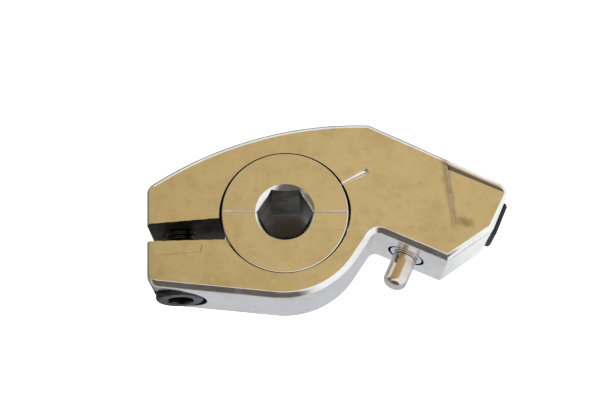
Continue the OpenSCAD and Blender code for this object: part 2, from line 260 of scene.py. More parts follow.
def lathe(profile, steps=96, closed=False, shape=None):
    """Revolves (radius, height) points about Z. shape(radius, height, angle) may change the radius."""
    rings = []
    for r, z in profile:
        if r < 1e-9:
            rings.append([(0, 0, z)])
            continue
        ring = []
        for k in range(steps):
            t = 2 * math.pi * k / steps
            q = shape(r, z, t) if shape else r
            ring.append((q * math.cos(t), q * math.sin(t), z))
        rings.append(ring)
    return stack(rings, closed=closed)


def arc(cx, cz, r, a0, a1, n):
    """Points of a circular arc from angle a0 to a1, in degrees."""
    turns = [math.radians(a0 + (a1 - a0) * k / n) for k in range(n + 1)]
    return [(cx + r * math.cos(t), cz + r * math.sin(t)) for t in turns]


def prism(points, z0, z1):
    return stack([[(x, y, z0) for x, y in points], [(x, y, z1) for x, y in points]])


def box_mesh(x0, x1, y0, y1, z0, z1):
    return prism([(x0, y0), (x1, y0), (x1, y1), (x0, y1)], z0, z1)


def hexagon(af, turn=0.0):
    r = af / 2 / math.cos(math.radians(30))
    return [tuple(r * heading(60 * k + turn)) for k in range(6)]


def apply_all(obj):
    graph = bpy.context.evaluated_depsgraph_get()
    mesh = bpy.data.meshes.new_from_object(
        obj.evaluated_get(graph), preserve_all_data_layers=True, depsgraph=graph
    )
    obj.modifiers.clear()
    obj.data = mesh


def cut(obj, bm, matrix=None):
    """Takes a closed mesh away from a piece."""
    if matrix is not None:
        bm.transform(matrix)
    tool = to_object("tool", bm)
    mod = obj.modifiers.new("cut", "BOOLEAN")
    mod.operation = "DIFFERENCE"
    mod.solver = "EXACT"
    mod.object = tool
    apply_all(obj)
    bpy.data.objects.remove(tool)


def soften(obj, width, segments=2, angle=40.0):
    """Rounds every edge sharper than an angle."""
    bm = bmesh.new()
    bm.from_mesh(obj.data)
    bmesh.ops.remove_doubles(bm, verts=bm.verts, dist=2e-3)
    bmesh.ops.dissolve_degenerate(bm, edges=bm.edges, dist=1e-3)
    bm.to_mesh(obj.data)
    bm.free()
    mod = obj.modifiers.new("edges", "BEVEL")
    mod.width = width
    mod.segments = segments
    mod.limit_method = "ANGLE"
    mod.angle_limit = math.radians(angle)
    mod.miter_outer = "MITER_ARC"
    mod.use_clamp_overlap = True
    apply_all(obj)


def place(obj, name, body, node, material, smooth=35.0, weighted=True):
    """Scales a piece to metres, dresses it and puts it on its body."""
    obj.data.transform(Matrix.Scale(MM, 4))
    obj.name = name
    obj.data.name = name
    obj.data.materials.clear()
    obj.data.materials.append(material)
    obj.data.polygons.foreach_set("use_smooth", [True] * len(obj.data.polygons))
    obj.data.set_sharp_from_angle(angle=math.radians(smooth))
    obj.data.update()
    if weighted:
        mod = obj.modifiers.new("normals", "WEIGHTED_NORMAL")
        mod.keep_sharp = True
        mod.weight = 60
    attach(obj, body)
    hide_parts(node)
    return obj


# ---- node material helpers ----

class Tree:
    def __init__(self, name):
        self.material = bpy.data.materials.new(name)
        self.material.use_nodes = True
        self.t = self.material.node_tree
        self.t.nodes.clear()
        self.out = self.t.nodes.new("ShaderNodeOutputMaterial")
        self.bsdf = self.t.nodes.new("ShaderNodeBsdfPrincipled")
        self.t.links.new(self.bsdf.outputs[0], self.out.inputs[0])
        self.coord = self.t.nodes.new("ShaderNodeTexCoord").outputs["Object"]

    def node(self, kind, inputs=None, **props):
        n = self.t.nodes.new(kind)
        for k, v in props.items():
            setattr(n, k, v)
        for k, v in (inputs or {}).items():
            if isinstance(v, bpy.types.NodeSocket):
                self.t.links.new(v, n.inputs[k])
            else:
                n.inputs[k].default_value = v
        return n

    def mapped(self, scale=(1, 1, 1), turn=(0, 0, 0), at=(0, 0, 0)):
        """Object coordinates in millimetres, moved, turned and stretched."""
        first = self.node("ShaderNodeMapping", {"Vector": self.coord, "Scale": (1000, 1000, 1000)})
        first.inputs["Location"].default_value = tuple(-v for v in at)
        second = self.node(
            "ShaderNodeMapping",
            {"Vector": first.outputs[0], "Rotation": tuple(math.radians(a) for a in turn)},
        )
        third = self.node("ShaderNodeMapping", {"Vector": second.outputs[0], "Scale": scale})
        return third.outputs[0]

    def noise(self, vector, scale, detail=3.0, rough=0.55, distort=0.0):
        return self.node(
            "ShaderNodeTexNoise",
            {"Vector": vector, "Scale": scale, "Detail": detail, "Roughness": rough, "Distortion": distort},
        ).outputs["Fac"]

    def ramp(self, value, low, high, a=0.0, b=1.0):
        return self.node(
            "ShaderNodeMapRange",
            {"Value": value, "From Min": low, "From Max": high, "To Min": a, "To Max": b},
            interpolation_type="SMOOTHSTEP",
        ).outputs[0]

    def math(self, op, a, b=0.0):
        n = self.node("ShaderNodeMath", operation=op)
        for i, v in enumerate((a, b)):
            if isinstance(v, bpy.types.NodeSocket):
                self.t.links.new(v, n.inputs[i])
            else:
                n.inputs[i].default_value = v
        return n.outputs[0]

    def mix(self, fac, a, b):
        n = self.node("ShaderNodeMix", data_type="RGBA")
        for i, v in ((0, fac), (6, a), (7, b)):
            if isinstance(v, bpy.types.NodeSocket):
                self.t.links.new(v, n.inputs[i])
            else:
                n.inputs[i].default_value = v if i == 0 else (*v, 1.0)
        return n.outputs[2]

    def scratches(self, turn, at=(0, 0, 0), fine=9.0, long=0.09, low=0.655, high=0.72):
        """Thin straight scratches along one direction."""
        v = self.mapped(scale=(long, fine, long), turn=(0, 0, turn), at=at)
        return self.ramp(self.noise(v, 1.0, detail=1.0), low, high)

    def bump(self, height, strength, distance):
        inputs = {"Height": height, "Strength": strength, "Distance": distance * MM}
        return self.node("ShaderNodeBump", inputs).outputs[0]

    def length(self, vector):
        return self.node("ShaderNodeVectorMath", {0: vector}, operation="LENGTH").outputs["Value"]

    def dot(self, vector, direction):
        n = self.node("ShaderNodeVectorMath", {0: vector, 1: direction}, operation="DOT_PRODUCT")
        return n.outputs["Value"]

    def set(self, **sockets):
        for k, v in sockets.items():
            key = k.replace("_", " ")
            if isinstance(v, bpy.types.NodeSocket):
                self.t.links.new(v, self.bsdf.inputs[key])
            else:
                self.bsdf.inputs[key].default_value = v
        return self.material


def aluminium(name, light, dark, rough, seed, lathe_lines=0.0, stains_and_shade=True):
    m = Tree(name)
    at = (seed * 13.7, seed * 5.1, seed * 3.3)
    cloud = m.noise(m.mapped(at=at), 0.11, detail=4, rough=0.6)
    patch = m.noise(m.mapped(at=(at[1], at[0], 3)), 0.45, detail=5, rough=0.65)
    grain = m.noise(m.mapped(at=at), 4.5, detail=3, rough=0.7)
    crossing = m.scratches(-58 - seed, at, fine=8, low=0.67)
    lines = m.math("MAXIMUM", m.scratches(12 + seed, at, fine=7), crossing)
    lines = m.math("MAXIMUM", lines, m.scratches(88, at, fine=6, long=0.13, low=0.68, high=0.73))
    color = m.mix(m.ramp(cloud, 0.35, 0.7), light, dark)
    color = m.mix(m.ramp(patch, 0.46, 0.72, 0, 0.45), color, tuple(c * 0.80 for c in dark))
    drawn = m.mapped(at=(at[2], 9, at[0]), scale=(0.5, 1, 1), turn=(0, 0, 20))
    haze = m.noise(drawn, 0.5, detail=6, rough=0.72, distort=0.6)
    color = m.mix(m.ramp(haze, 0.50, 0.68, 0, 0.55), color, (0.93, 0.96, 1.0))
    color = m.mix(m.math("MULTIPLY", lines, 0.3), color, (0.96, 0.95, 0.93))
    hazy = m.ramp(haze, 0.42, 0.70, rough - 0.03, rough + 0.10)
    roughness = m.math("ADD", hazy, m.math("MULTIPLY", grain, 0.04))
    height = m.math("ADD", m.math("MULTIPLY", grain, 0.25), m.math("MULTIPLY", lines, -0.35))
    if lathe_lines:
        wave = m.math("SINE", m.math("MULTIPLY", m.length(m.mapped(scale=(1, 1, 0))), 26.0))
        height = m.math("ADD", height, m.math("MULTIPLY", wave, lathe_lines))
    if stains_and_shade:
        color = stains_and_step_shade(m, color)
    else:
        bright = (1.0, 0.99, 0.97)
        color = mark(m, color, (-6.4, 6.6, THICK), 92, 3.6, 0.22, 0.6, bright)
        color = mark(m, color, (-4.6, 7.6, THICK), 84, 2.6, 0.20, 0.5, bright)
        color = mark(m, color, (6.6, 2.6, THICK), 96, 2.4, 0.25, 0.5, bright)
    return m.set(Base_Color=color, Metallic=1.0, Roughness=roughness, Normal=m.bump(height, 0.2, 0.005))


def mark(m, color, at, turn, half, wide, depth, tone):
    """One wavering line on the face at a given height, turned about Z: a scratch, a dirt mark or painted
    shade.
    """
    v = m.node("ShaderNodeSeparateXYZ", {0: m.mapped(at=at, turn=(0, 0, -turn))})
    wave = m.math("MULTIPLY", m.math("SUBTRACT", m.noise(m.mapped(), 0.25, detail=2), 0.5), 1.6)
    across = m.math("ABSOLUTE", m.math("ADD", v.outputs[1], wave))
    along = m.ramp(m.math("ABSOLUTE", v.outputs[0]), half * 0.6, half, 1, 0)
    level = m.ramp(m.math("ABSOLUTE", v.outputs[2]), 0.9, 1.3, 1, 0)
    line = m.math("MULTIPLY", m.ramp(across, 0, wide, depth, 0), along)
    return m.mix(m.math("MULTIPLY", line, level), color, tone)


def stains_and_step_shade(m, color):
    """Shade beside the relief's step, a brown bloom where its floor runs out, and a few marks."""
    v = m.mapped(at=(36.4, -4.4, 16.0), scale=(0.42, 0.75, 0.5), turn=(0, 0, 22))
    away = m.length(v)
    edge = m.noise(m.mapped(), 1.4, detail=4, rough=0.7)
    spot = m.ramp(m.math("ADD", away, m.math("MULTIPLY", edge, 1.5)), 0.95, 1.85, 0.75, 0.0)
    color = m.mix(spot, color, (0.42, 0.33, 0.31))
    dirt = (0.36, 0.28, 0.20)
    # Painted shade: a brown line in the corner along the relief's step.
    color = mark(m, color, (RELIEF_X - 0.3, 3.6, THICK), 92, 11.0, 1.3, 0.65, (0.40, 0.30, 0.22))
    color = mark(m, color, (-22.0, -7.7, THICK), 2, 4.6, 0.16, 0.45, dirt)
    color = mark(m, color, (-17.2, -7.0, THICK), 84, 1.2, 0.22, 0.55, dirt)
    blots = m.noise(m.mapped(at=(7, 3, 0)), 0.32, detail=6, rough=0.7, distort=1.2)
    return m.mix(m.ramp(blots, 0.60, 0.68, 0.0, 0.35), color, (0.93, 0.92, 0.90))


def plain_metal(name, light, dark, rough, bump=0.25, scale=2.0, wear=None, oil=0.0):
    m = Tree(name)
    cloud = m.noise(m.mapped(), scale * 0.2, detail=4)
    grain = m.noise(m.mapped(), scale * 3, detail=3, rough=0.7)
    lines = m.scratches(35, fine=9, long=0.2, low=0.66)
    color = m.mix(m.ramp(cloud, 0.35, 0.68), light, dark)
    if wear:
        worn = m.ramp(m.noise(m.mapped(), scale * 1.3, detail=5, rough=0.75), 0.60, 0.72, 0, 0.6)
        color = m.mix(m.math("MAXIMUM", worn, m.math("MULTIPLY", lines, 0.5)), color, wear)
    height = m.math("SUBTRACT", grain, m.math("MULTIPLY", lines, 0.5))
    cloudy = m.ramp(cloud, 0.3, 0.7, rough, rough + 0.1)
    roughness = m.math("ADD", cloudy, m.math("MULTIPLY", grain, 0.05))
    m.set(Base_Color=color, Metallic=1.0, Roughness=roughness, Normal=m.bump(height, bump, 0.01))
    if oil:
        m.set(Coat_Weight=oil, Coat_Roughness=0.15)
    return m.material


def rubber(name):
    m = Tree(name)
    grain = m.noise(m.mapped(), 5.0, detail=4, rough=0.7)
    cloud = m.noise(m.mapped(), 0.7, detail=4)
    dust = m.ramp(m.noise(m.mapped(at=(4, 4, 4)), 1.6, detail=5, rough=0.7), 0.58, 0.75, 0, 0.5)
    color = m.mix(m.ramp(cloud, 0.35, 0.7), (0.008, 0.0085, 0.0095), (0.018, 0.019, 0.021))
    color = m.mix(dust, color, (0.05, 0.05, 0.05))
    m.set(
        Base_Color=color,
        Metallic=0.0,
        Roughness=m.ramp(cloud, 0.3, 0.7, 0.5, 0.68),
        Specular_IOR_Level=0.25,
        Normal=m.bump(grain, 0.5, 0.05),
    )
    return m.material


BODY = aluminium("body_aluminium_look", (0.92, 0.905, 0.87), (0.82, 0.79, 0.745), 0.16, 1)
BUSH = aluminium(
    "bush_aluminium_look", (0.92, 0.905, 0.87), (0.83, 0.805, 0.76), 0.16, 4, lathe_lines=0.25, stains_and_shade=False
)
# Walls of the slit, the bore's gap and the screw hole: sawn texture and wear on a dark base that is painted
# shade.
SAWN_SHADE = plain_metal(
    "sawn_wall_painted_shade_look", (0.17, 0.165, 0.16), (0.08, 0.078, 0.075), 0.42,
    bump=0.8, scale=1.2, wear=(0.42, 0.42, 0.41),
)
# Walls of the hexagon hole: a dark base that is painted shade.
BROACHED_SHADE = plain_metal(
    "broached_wall_painted_shade_look", (0.105, 0.096, 0.078), (0.062, 0.056, 0.046), 0.38, bump=0.4, scale=1.5
)
BLACK = plain_metal(
    "black_oxide_look", (0.055, 0.055, 0.06), (0.03, 0.03, 0.034), 0.33,
    bump=0.4, scale=2.5, wear=(0.20, 0.19, 0.18), oil=0.25,
)
WASHER = plain_metal("spring_washer_look", (0.40, 0.40, 0.41), (0.27, 0.27, 0.29), 0.36, bump=0.4, scale=2.5)
INSERT = plain_metal("insert_look", (0.62, 0.61, 0.60), (0.50, 0.50, 0.50), 0.28, bump=0.3, scale=3.0)
SLEEVE = plain_metal("sleeve_look", (0.80, 0.81, 0.83), (0.70, 0.71, 0.74), 0.20, bump=0.25, scale=2.0)
CHROME = plain_metal("chrome_look", (0.78, 0.71, 0.65), (0.68, 0.62, 0.57), 0.07, bump=0.12, scale=1.5)
SPRING = plain_metal("spring_wire_look", (0.58, 0.58, 0.60), (0.45, 0.45, 0.47), 0.26, bump=0.2, scale=3.0)
RUBBER = rubber("rubber_look")
# Near-black for the hollows in the sleeve and the arm and beside the relief's step: painted shade.
SHADE_BLACK = plain_metal("painted_shade_look", (0.03, 0.028, 0.025), (0.012, 0.012, 0.011), 0.6, bump=0.6, scale=2.0)


# ---- arm ----

def plate():
    """The arm's outline with a faceted bevel, smaller at the split end.

    Each facet is an angle from the face and a length.
    """
    facets = [(10, 0.12), (28, 0.15), (41, 0.5), (45, 0.5), (50, 0.3), (62, 0.15), (78, 0.12)]
    low = [(sum(d * heading(a)[0] for a, d in facets), 0.0)]
    for a, d in facets:
        low.append((low[-1][0] - d * heading(a)[0], low[-1][1] + d * heading(a)[1]))
    rings = low + [(inset, THICK - z) for inset, z in reversed(low)]
    rim = outline(0)
    levels = []
    for inset, z in rings:
        level = []
        for p, q in zip(rim, outline(inset)):
            d = q - p
            left = d[0] / (np.linalg.norm(d) + 1e-12)  # 1 where the edge faces the split end
            share = min(max((left - 0.45) / 0.5, 0.0), 1.0)
            d = d * (1 - 0.5 * share * share * (3 - 2 * share))
            level.append((p[0] + d[0], p[1] + d[1], z))
        levels.append(level)
    return stack(levels)


def bore():
    """Bore that holds the bush above and below, and eases open to its left and right."""
    r, p = BUSH_R + EASE, EASE - BUSH_FIT
    points = []
    for k in range(240):
        t = 2 * math.pi * k / 240
        q = -p * abs(math.sin(t)) + math.sqrt(r * r - (p * math.cos(t)) ** 2)
        points.append((q * math.cos(t), q * math.sin(t)))
    return prism(points, -1, THICK + 1)


def slit():
    """Sawn slit. Its walls wander a little, as the saw left them."""
    xs = np.linspace(-TAIL - 1, -BUSH_R + 0.9, 24)
    wander = 0.03 * np.sin(xs * 2.1) + 0.02 * np.sin(xs * 4.7 + 1)
    low = [(x, -SLIT_DROP - slit_width(x) / 2 + w) for x, w in zip(xs, wander)]
    high = [(x, -SLIT_DROP + slit_width(x) / 2 + w) for x, w in zip(xs, wander[::-1])]
    return prism(low + high[::-1], -1, THICK + 1)


def relief():
    """Sloping recess with a worn, rounded lip at its step."""
    slope = math.tan(math.radians(RELIEF_SLOPE))
    rings = []
    for y in np.linspace(RELIEF_Y - 0.6, 24, 62):
        depth = max((y - RELIEF_Y) * slope, -0.06)
        floor = THICK - depth
        share = min(max(depth / 0.7, 0.0), 1.0)
        w, h = 0.1 + 1.5 * share, 0.01 + 0.17 * share
        h = min(h, max(depth * 0.6, 0.004))
        ring = [(60, y, floor)]
        ring += [(RELIEF_X + 0.25 * (1 - math.sin(t)), y, floor + 0.25 * share * (1 - math.cos(t)))
                 for t in np.linspace(0, math.pi / 2, 5)]
        top = max(THICK - h, floor + 0.25 * share + 0.002)
        ring += [(RELIEF_X - w + w * s, y, THICK + 0.003 - (THICK + 0.003 - top) * s ** 1.7)
                 for s in np.linspace(1, 0, 9)]
        ring += [(RELIEF_X - w, y, THICK + 2), (60, y, THICK + 2)]
        rings.append(ring)
    bm = stack(rings)
    turn = Matrix.Rotation(math.radians(-BROW_SLOPE), 4, "Z")
    on_wall = Vector((CROWN[0], CROWN[1], THICK)) + turn @ Vector((0, -BEVEL - RELIEF_LIP, 0))
    normal = turn @ Matrix.Rotation(math.radians(-RELIEF_LEAN), 4, "X") @ Vector((0, 1, 0))
    everything = bm.verts[:] + bm.edges[:] + bm.faces[:]
    bmesh.ops.bisect_plane(
        bm, geom=everything, dist=1e-6, plane_co=on_wall, plane_no=normal, clear_outer=True
    )
    bmesh.ops.holes_fill(bm, edges=[e for e in bm.edges if e.is_boundary], sides=0)
    return bm


def peg(radius, low, high):
    """A round cutter along Z."""
    return [(0, low), (radius, low), (radius, high), (0, high)]


def arm():
    obj = to_object("arm_plate", plate())
    cut(obj, bore())
    cut(obj, slit())
    cut(obj, relief())
    past = 10  # how far a cutter runs out of the arm
    cut(obj, lathe(peg(HEAD_R + HEAD_ROOM, 0, SEAT_Y - HEAD_END + past), 96), on_screw(HEAD_END - past))
    step, end = INSERT_Y - SEAT_Y, INSERT_Y - SEAT_Y + INSERT_LEN
    wide = INSERT_R + FIT
    hole = [
        (0, -1), (SCREW_R + SHANK_ROOM, -1), (SCREW_R + SHANK_ROOM, step), (wide, step), (wide, end),
        (SCREW_R, end), (SCREW_R, end + 0.6), (0, end + 0.6 + SCREW_R * math.tan(math.radians(31))),
    ]
    cut(obj, lathe(hole, 64), on_screw(SEAT_Y))
    length = SLEEVE_LEN + PLAY
    cut(obj, lathe(peg(SLEEVE_R + FIT, 0, length + 1), 96), on_plunger(length))
    a, b = PAD_W / 2 + FIT, PAD_LEN / 2 + FIT
    cut(obj, box_mesh(-a, a, -b, b, -PAD_POCKET, 1), ON_END)
    cut(obj, lathe(peg(STEM_R + FIT, -4, 0), 32), ON_END @ Matrix.Translation((0, 0, -PAD_POCKET)))
    groove = [(0, -0.5), (INDEX_TIP_R, -0.5), (INDEX_R, INDEX_LEN)]
    groove += [
        (INDEX_R * math.cos(t), INDEX_LEN + INDEX_R * math.sin(t))
        for t in np.linspace(0.15, math.pi / 2, 9)[:-1]
    ]
    groove += [(0, INDEX_LEN + INDEX_R)]
    place_groove = (
        Matrix.Translation((0, 0, THICK))
        @ Matrix.Rotation(math.radians(INDEX_ANGLE), 4, "Z")
        @ Matrix.Translation((BUSH_R, 0, 0))
        @ Matrix.Rotation(math.radians(90), 4, "Y")
    )
    cut(obj, lathe(groove, 48), place_groove)
    soften(obj, 0.12, 2, 42)
    piece = place(obj, "arm", "arm", "clamp_body", BODY, smooth=32)
    # The sawn walls and the corners get dark materials as painted shade.
    piece.data.materials.append(SAWN_SHADE)
    piece.data.materials.append(SHADE_BLACK)
    for face in piece.data.polygons:
        face.material_index = surface_or_shade_at(face.center / MM, face.normal)
    return piece


def surface_or_shade_at(at, n):
    """0 for the polished outside, 1 for sawn or drilled walls on a dark base that is painted shade, 2 for
    the plunger's hole and the corner at the relief's step, near-black as painted shade.
    """
    x, y, z = at
    p = ON_PLUNGER.inverted() @ at
    if math.hypot(p.x, p.y) < SLEEVE_R + 0.06 and -SLEEVE_LEN - 0.1 < p.z < -0.15:
        return 2
    if abs(x - RELIEF_X + 0.2) < 0.5 and y > RELIEF_Y + 1 and z > THICK - 2.5 and n.x > 0.35:
        return 2
    in_slit = -TAIL + 0.05 < x < -BUSH_R + 0.3 and abs(y + SLIT_DROP) < slit_width(x) / 2 + 0.12
    if in_slit and abs(n.z) < 0.6:
        return 1
    if abs(math.hypot(x, y) - BUSH_R - 0.3) < 0.35 and abs(n.z) < 0.3:
        return 1
    away = math.hypot(x - SCREW_X, z - MID)
    drilled = away < HEAD_R + HEAD_ROOM + 0.02 and y < INSERT_Y + INSERT_LEN and x > -TAIL + 0.3
    drilled = drilled and (y > SEAT_Y - 0.2 or away > HEAD_R + 0.3) and abs(n.z) < 0.999
    return 1 if drilled and 1.3 < z < THICK - 1.3 and y < 0 and inside_hole(n, x, z) else 0


def inside_hole(n, x, z):
    """True where a face looks towards the screw's axis, or along it."""
    out = Vector((x - SCREW_X, 0, z - MID))
    return abs(n.y) > 0.9 or out.normalized().dot(n) < -0.6


def bush():
    rim = arc(BUSH_R - 0.3, THICK - 0.3, 0.3, 0, 90, 4)
    low = [(r, THICK - z) for r, z in reversed(rim)]
    obj = to_object("bush_blank", lathe([(0, 0)] + low + rim + [(0, THICK)], 240))
    depth = SINK_R - HEX_AF / 2
    for z0, flip in ((THICK, 1), (0.0, -1)):
        cone = [(0, -depth), (HEX_AF / 2, -depth), (SINK_R, 0), (SINK_R + 1, 1), (0, 1)]
        cut(obj, lathe([(r, z0 + flip * z) for r, z in cone], 120))
    cut(obj, prism(hexagon(HEX_AF), -1, THICK + 1))
    for turn in (0, 180):
        top = SCRIBE_W + 0.03
        vee = [(top, 0.2), (-top, 0.2), (-SCRIBE_W, 0), (0, -SCRIBE_DEEP), (SCRIBE_W, 0)]
        bar = stack([[(x, y, z + THICK) for y, z in vee] for x in (SINK_R - 0.4, BUSH_R - 0.3)])
        cut(obj, bar, Matrix.Rotation(math.radians(turn), 4, "Z"))
    soften(obj, 0.07, 2, 30)
    obj.data.transform(Matrix.Rotation(math.radians(BUSH_TURN), 4, "Z"))
    piece = place(obj, "hexagon_bush", "bush", "hex_bush", BUSH, smooth=32)
    piece.data.materials.append(BROACHED_SHADE)
    piece.data.materials.append(INSERT)
    for face in piece.data.polygons:
        x, y, z = face.center / MM
        if SINK_R + 0.1 < math.hypot(x, y) < BUSH_R - 0.4 and z > THICK - 0.2 and abs(face.normal.z) < 0.99:
            face.material_index = 2
        # The hexagon's walls get the dark material as painted shade.
        if math.hypot(x, y) < HEX_AF / 2 / math.cos(math.radians(30)) and abs(face.normal.z) < 0.3:
            face.material_index = 1
    return piece


# ---- clamp screw, washer and insert ----

def thread_depth(z, t):
    """0 in a thread's root and 1 on its crest, at a height and an angle."""
    f = (z / PITCH - t / (2 * math.pi)) % 1.0
    return max(0.0, min(1.0, 4 * abs(f - 0.5) - 0.5))


def screw():
    def knurl(r, z, t):
        if HEAD_R - 0.02 < r and 1.0 < z < HEAD_H - 0.6:
            return r - 0.11 * (0.5 - 0.5 * math.cos(60 * t))
        return r
    head = [(0, 0)] + [(HEAD_R - 0.9, 0)] + arc(HEAD_R - 0.7, 0.7, 0.7, -90, 0, 6)
    head += [(HEAD_R, 0.98), (HEAD_R, 1.1), (HEAD_R, HEAD_H - 0.7), (HEAD_R, HEAD_H - 0.5)]
    head += [(HEAD_R - 0.06, HEAD_H - 0.15), (HEAD_R - 0.2, HEAD_H), (0, HEAD_H)]
    obj = to_object("screw_head", lathe(head, 480, shape=knurl))
    cut(obj, prism(hexagon(SOCKET_AF, 30), -1, SOCKET_DEEP))
    cut(obj, lathe([(0, -0.5), (3.2, -0.5), (2.72, 0.16), (2.4, 0.5), (0, 0.5)], 60))
    r = SOCKET_AF / 2 - FIT
    tip = SOCKET_DEEP + r * math.tan(math.radians(30))
    cut(obj, lathe([(0, SOCKET_DEEP - 0.1), (r, SOCKET_DEEP - 0.1), (r, SOCKET_DEEP), (0, tip)], 60))
    soften(obj, 0.08, 2, 45)
    obj.data.transform(on_screw(HEAD_END))

    n, end = 12, SCREW_LEN - PLAY
    heights = [k * PITCH / n for k in range(int(end * n / PITCH))] + [end]

    def ridge(r, z, t):
        fade = z - 0.5 if z < 1.5 else (SCREW_LEN - z) / 0.7
        crest = min(SCREW_R - 0.01, SCREW_R - 0.6 + SCREW_LEN - z)
        return crest - 0.55 * min(1.0, max(0.0, fade)) * (1 - thread_depth(z, t))
    rod = [(0, -0.2), (SCREW_R - 0.02, -0.2)] + [(SCREW_R, z) for z in heights] + [(0, end)]
    shank = to_object("screw_shank", lathe(rod, 64, shape=ridge))
    shank.data.transform(on_screw(HEAD_END + HEAD_H))
    return (
        place(obj, "screw_head", "screw", "clamp_screw", BLACK),
        place(shank, "screw_shank", "screw", "clamp_screw", BLACK, smooth=60, weighted=False),
    )


def washer():
    """Spring washer pressed flat: a square wire bent to a ring, cut off at a slant."""
    inner, outer, r = SCREW_R + SHANK_ROOM, HEAD_R - 0.1, 0.18
    corners = [
        (inner + r, r, 180), (outer - r, r, 270), (outer - r, WASHER_T - r, 0), (inner + r, WASHER_T - r, 90)
    ]
    section = [p for cx, cz, a in corners for p in arc(cx, cz, r, a, a + 90, 4)]
    rings = []
    for k in range(121):
        base = 7.0 + 346.0 * k / 120
        ring = []
        for q, z in section:
            ends = abs(k / 60 - 1) ** 12 if k in (0, 120) else 0.0
            t = math.radians(base + 90 + 7.0 * (z / WASHER_T - 0.5) * ends)
            ring.append((q * math.cos(t), q * math.sin(t), z))
        rings.append(ring)
    obj = to_object("washer", stack(rings))
    obj.data.transform(on_screw(WASHER_Y))
    return place(obj, "spring_washer", "washer", "lock_washer", WASHER)


def insert():
    """Thread liner wound from diamond wire: ridged outside and inside."""
    count = int(INSERT_LEN * 8)
    heights = [k * INSERT_LEN / count for k in range(count + 1)]

    def ridge(r, z, t):
        edge = min(1.0, z / 0.4, (INSERT_LEN - z) / 0.4)
        f = thread_depth(z, t) * edge
        return r - 0.22 * (1 - f) if r > 3.3 else r + 0.18 * f
    profile = [(3.06, z) for z in heights] + [(INSERT_R, z) for z in reversed(heights)]
    obj = to_object("insert", lathe(profile, 64, closed=True, shape=ridge))
    obj.data.transform(on_screw(INSERT_Y))
    return place(
        obj, "thread_liner", "arm", "thread_insert", INSERT, smooth=60, weighted=False
    )


# ---- plunger ----

CHAMBER_R = SLEEVE_R - SLEEVE_WALL
CHAMBER_END = SLEEVE_LEN - PLUG_T
COLLAR_FRONT = GUIDE + PLAY
SPRING_FRONT = COLLAR_FRONT + COLLAR_T + PLAY
SPRING_LEN = CHAMBER_END - PLAY - SPRING_FRONT


def sleeve():
    """Housing with a reduced nose round the pin."""
    bore_r = PIN_R + PIN_PLAY
    ring_r = bore_r + 0.95
    top, step = SLEEVE_LEN, SLEEVE_LEN - NOSE_STEP
    outside = [
        (SLEEVE_R - 0.25, 0.0), (SLEEVE_R, 0.25), (SLEEVE_R, 4.0), (SLEEVE_R - 0.12, 4.15),
        (SLEEVE_R - 0.12, 5.0), (SLEEVE_R, 5.15), (SLEEVE_R, step - 0.1), (SLEEVE_R - 0.1, step),
        (ring_r + 0.05, step), (ring_r, step + 0.05),
    ]
    nose = arc(ring_r - 0.14, top - 0.14, 0.14, 0, 90, 4) + arc(bore_r + 0.16, top - 0.16, 0.16, 90, 180, 4)
    inside = [
        (bore_r, top - 0.5), (bore_r, top - GUIDE + 0.1), (bore_r + 0.1, top - GUIDE),
        (CHAMBER_R - 0.1, top - GUIDE), (CHAMBER_R, top - GUIDE - 0.1), (CHAMBER_R, 0.2),
        (CHAMBER_R + 0.15, 0.0),
    ]
    obj = to_object("sleeve", lathe(outside + nose + inside, 120, closed=True))
    # Faces inside the sleeve get the near-black material as painted shade.
    deep = [f.index for f in obj.data.polygons if f.center.z < SLEEVE_LEN - 0.45]
    obj.data.transform(on_plunger(SLEEVE_LEN))
    piece = place(obj, "plunger_housing", "arm", "plunger_sleeve", SLEEVE)
    piece.data.materials.append(SHADE_BLACK)
    for i in deep:
        piece.data.polygons[i].material_index = 1
    return piece


def pin():
    """Domed pin with a grease groove, a collar and a tail inside the spring."""
    nose_r, neck = 1.9, PIN_R - 0.03
    back = -COLLAR_FRONT - COLLAR_T
    tail_r = CHAMBER_R - 0.25 - WIRE - 0.3
    tail = -(CHAMBER_END - PIN_TRAVEL - 0.5)
    collar_r = CHAMBER_R - 0.1
    profile = [
        (0, tail), (tail_r - 0.3, tail), (tail_r, tail + 0.3), (tail_r, back), (collar_r - 0.2, back),
        (collar_r, back + 0.2), (collar_r, -COLLAR_FRONT - 0.2), (collar_r - 0.2, -COLLAR_FRONT),
        (neck, -COLLAR_FRONT), (neck, -GROOVE_LEN), (PIN_R - GROOVE, -GROOVE_LEN + 0.05),
        (PIN_R - GROOVE, -0.05), (PIN_R, 0.0), (PIN_R, PIN_OUT - nose_r),
    ]
    profile += arc(PIN_R - nose_r, PIN_OUT - nose_r, nose_r, 0, 90, 14)[1:] + [(0, PIN_OUT)]
    obj = to_object("pin", lathe(profile, 120))
    obj.data.transform(on_plunger(0))
    return place(obj, "index_pin", "pin", "plunger_pin", CHROME)


def spring():
    """Compression spring with closed ends, flattened where the pin pushes it."""
    wire, turns, per = WIRE, 5.0, 40
    middle = CHAMBER_R - 0.25 - wire / 2
    rise = SPRING_LEN - wire
    dead = 0.75
    rings = []
    for k in range(int(turns * per) + 1):
        n = k / per
        s = (n - dead) / (turns - 2 * dead)
        if s < 0:
            climb = 0.08 * n / dead
        else:
            climb = 0.08 + 0.84 * s if s < 1 else 1 - 0.08 * (turns - n) / dead
        z = wire / 2 + rise * climb
        t = 2 * math.pi * n
        ring = []
        for j in range(12):
            b = 2 * math.pi * j / 12
            q = middle + wire / 2 * math.cos(b)
            ring.append((q * math.cos(t), q * math.sin(t), z + wire / 2 * math.sin(b)))
        rings.append(ring)
    obj = to_object("spring", stack(rings))
    obj.data.transform(on_plunger(SPRING_FRONT + SPRING_LEN))
    piece = place(
        obj, "coil_spring", "arm", "plunger_spring", SPRING, smooth=60, weighted=False
    )
    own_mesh(piece)
    return piece


